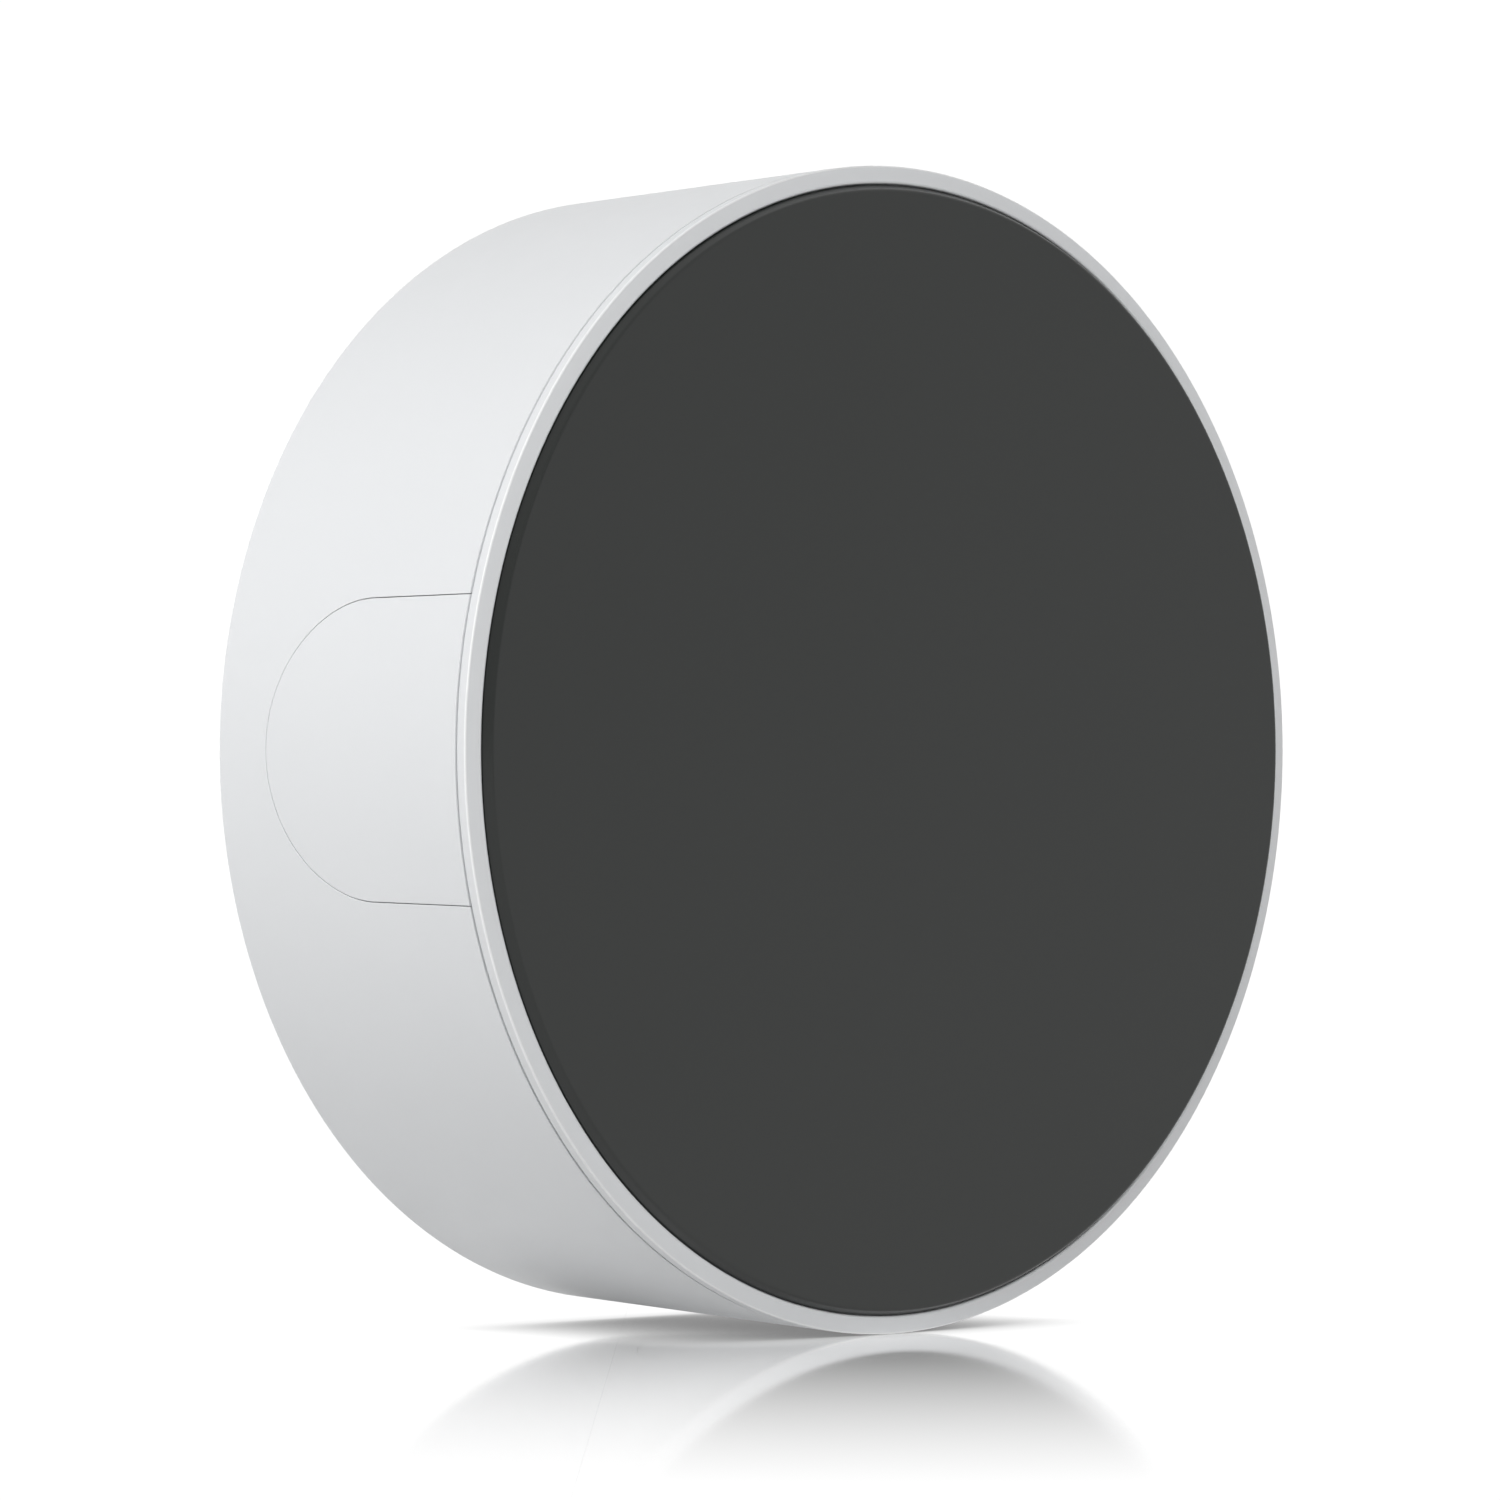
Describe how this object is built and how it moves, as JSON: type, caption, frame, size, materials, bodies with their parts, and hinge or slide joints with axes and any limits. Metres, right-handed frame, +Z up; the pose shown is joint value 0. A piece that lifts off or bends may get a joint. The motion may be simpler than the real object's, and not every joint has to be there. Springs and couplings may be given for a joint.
{
  "type": "streaming media player",
  "caption": "Round streaming media player: short tapered white drum with a smoked front window, flush pull-out covers over its cable ports and a vented rear cover with a pairing button.",
  "frame": {"origin": "centre of the flat face of the rear pad, on the drum's axis", "axes": "+Y along the drum's axis, out of the rear pad; -Y is the side with the smoked window; +Z up, with one port cover at the bottom (-Z) and the other at the left seen from the front (-X)"},
  "size_m": [0.1, 0.0341, 0.1],
  "materials": {
    "white_casing": "fine satin moulded white",
    "smoked_window": "satin smoked, near black",
    "black_plastic": "fine matt moulded black",
    "black_foam": "closed-cell foam",
    "grey_rubber": "matt moulded silicone",
    "steel": "bright plated sheet",
    "aluminium": "satin extruded",
    "circuit_board": "green solder mask",
    "chip_epoxy": "moulded black epoxy",
    "thermal_silicone": "soft pale blue silicone",
    "clear_plastic": "clear moulded",
    "ribbon_film": "amber polyimide film",
    "cable_jacket": "thin black jacket"
  },
  "bodies": {
    "casing": {"bezel_ring": "white_casing", "body_shell": "white_casing", "rear_cover": "white_casing", "front_window": "smoked_window", "front_frame": "black_plastic", "left_port_bay": "black_plastic", "bottom_port_bay": "black_plastic", "ethernet_socket": "black_plastic", "window_gasket": "black_foam", "rear_pad": "grey_rubber", "hdmi_socket": "steel", "usb_c_socket": "steel", "shield_can": "steel", "board_screw_1": "steel", "board_screw_2": "steel", "board_screw_3": "steel", "board_screw_4": "steel", "rear_screw_1": "steel", "rear_screw_2": "steel", "rear_screw_3": "steel", "rear_screw_4": "steel", "heat_sink": "aluminium", "power_capacitor_1": "aluminium", "power_capacitor_2": "aluminium", "main_board": "circuit_board", "front_board": "circuit_board", "processor": "chip_epoxy", "memory_chip_1": "chip_epoxy", "memory_chip_2": "chip_epoxy", "flash_chip": "chip_epoxy", "wireless_chip": "chip_epoxy", "ethernet_transformer": "chip_epoxy", "power_inductor": "chip_epoxy", "infrared_receiver": "chip_epoxy", "pair_switch": "chip_epoxy", "thermal_pad": "thermal_silicone", "light_guide": "clear_plastic", "status_light": "clear_plastic", "front_ribbon": "ribbon_film", "left_antenna": "ribbon_film", "right_antenna": "ribbon_film", "left_antenna_lead": "cable_jacket", "right_antenna_lead": "cable_jacket"},
    "left_cover": {"left_port_cover": "white_casing"},
    "bottom_cover": {"bottom_port_cover": "white_casing"},
    "pair_button": {"pair_button": "white_casing", "switch_plunger": "black_plastic"}
  },
  "joints": [
    {"name": "left_cover_pull", "type": "slide", "parent": "casing", "child": "left_cover", "axis": [-1, 0, 0], "range_m": [0, 0.014]},
    {"name": "bottom_cover_pull", "type": "slide", "parent": "casing", "child": "bottom_cover", "axis": [0, 0, -1], "range_m": [0, 0.014]},
    {"name": "pair_button_press", "type": "slide", "parent": "casing", "child": "pair_button", "axis": [0, -1, 0], "range_m": [0, 0.0005], "stiffness_N_per_m": 600, "springref_m": -0.0005}
  ]
}
